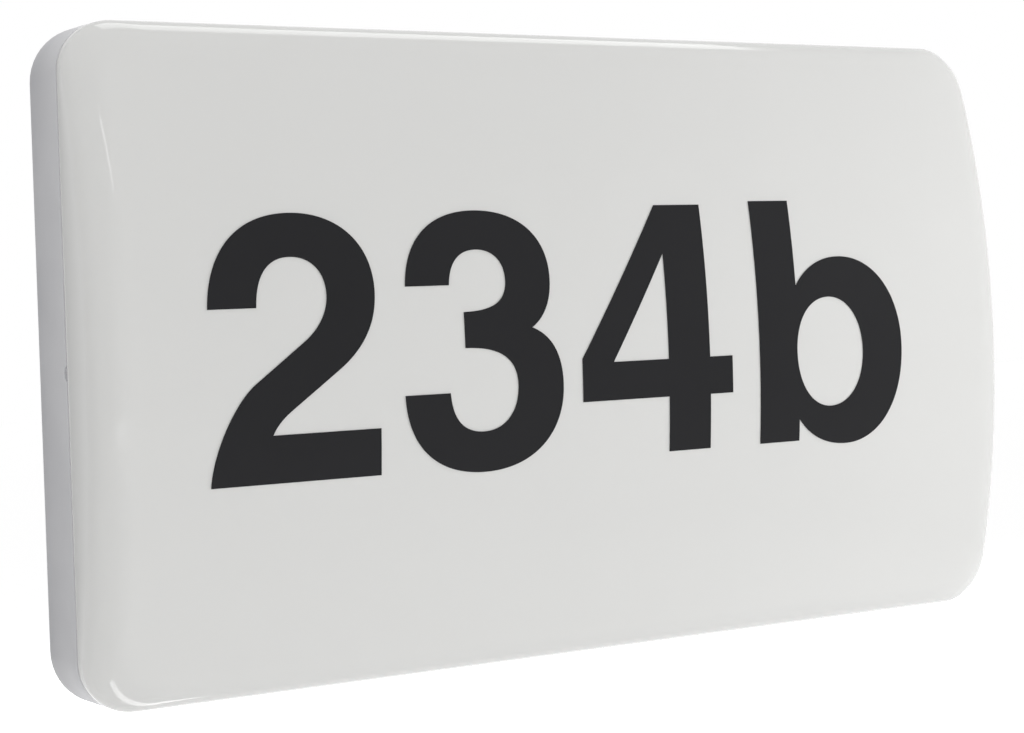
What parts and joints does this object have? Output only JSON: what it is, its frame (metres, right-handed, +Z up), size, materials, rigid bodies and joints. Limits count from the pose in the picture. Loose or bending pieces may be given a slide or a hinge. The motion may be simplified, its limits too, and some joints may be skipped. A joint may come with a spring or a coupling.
{
  "type": "outdoor wall light",
  "caption": "Shallow rectangular outdoor wall light with an arched opal cover that pulls off, a house number on its front, and LED boards on a steel tray inside.",
  "frame": {"origin": "centre of the back of the base, on the wall", "axes": "+X to the viewer's right along the length, -Y out of the wall through the front of the cover, +Z up"},
  "size_m": [0.2598, 0.043, 0.1618],
  "materials": {
    "housing_white": "moulded white, satin gloss",
    "opal_cover": "glossy opal white",
    "vinyl_black": "satin black film",
    "gasket_silicone": "matt grey silicone",
    "rubber_black": "matt black rubber",
    "tray_paint": "white powder coat",
    "zinc_steel": "bright zinc plate",
    "brass": "plain brass",
    "tinned_copper": "tin plate",
    "board_white": "white solder mask on aluminium",
    "led_phosphor": "yellow phosphor in a white frame",
    "connector_white": "white moulded",
    "terminal_white": "natural white moulded",
    "driver_plastic": "light grey moulded",
    "circuit_green": "green solder mask",
    "ferrite": "dark ferrite with yellow tape",
    "capacitor_sleeve": "dark shrink sleeve",
    "chip_black": "moulded epoxy",
    "lead_brown": "brown insulation",
    "lead_blue": "blue insulation",
    "lead_earth": "green and yellow insulation",
    "lead_red": "red insulation",
    "lead_black": "black insulation"
  },
  "bodies": {
    "base": {"base_housing": "housing_white", "cover_gasket": "gasket_silicone", "cable_grommet": "rubber_black", "wall_screw_seals": "rubber_black", "terminal_block": "terminal_white", "terminal_clamps": "brass", "terminal_clamp_screws": "zinc_steel", "terminal_block_screws": "zinc_steel", "gear_tray": "tray_paint", "tray_screws": "zinc_steel", "tray_grommet": "rubber_black", "earth_stud": "zinc_steel", "earth_nut": "zinc_steel", "earth_ring_terminal": "tinned_copper", "led_board_upper": "board_white", "led_board_middle": "board_white", "led_board_lower": "board_white", "led_chips_upper": "led_phosphor", "led_chips_middle": "led_phosphor", "led_chips_lower": "led_phosphor", "board_screws": "zinc_steel", "board_connectors": "connector_white", "driver_case": "driver_plastic", "driver_lid": "driver_plastic", "driver_screws": "zinc_steel", "driver_board": "circuit_green", "driver_transformer": "ferrite", "driver_capacitors": "capacitor_sleeve", "driver_choke": "ferrite", "driver_chips": "chip_black", "live_lead": "lead_brown", "neutral_lead": "lead_blue", "earth_lead": "lead_earth", "board_lead_positive": "lead_red", "board_lead_negative": "lead_black", "link_wire_middle_outer": "lead_red", "link_wire_middle_inner": "lead_black", "link_wire_lower_outer": "lead_red", "link_wire_lower_inner": "lead_black"},
    "cover": {"diffuser_cover": "opal_cover", "digit_two": "vinyl_black", "digit_three": "vinyl_black", "digit_four": "vinyl_black", "letter_b": "vinyl_black"}
  },
  "joints": [
    {"name": "cover_pull", "type": "slide", "parent": "base", "child": "cover", "axis": [0, -1, 0], "range_m": [0, 0.06]}
  ]
}
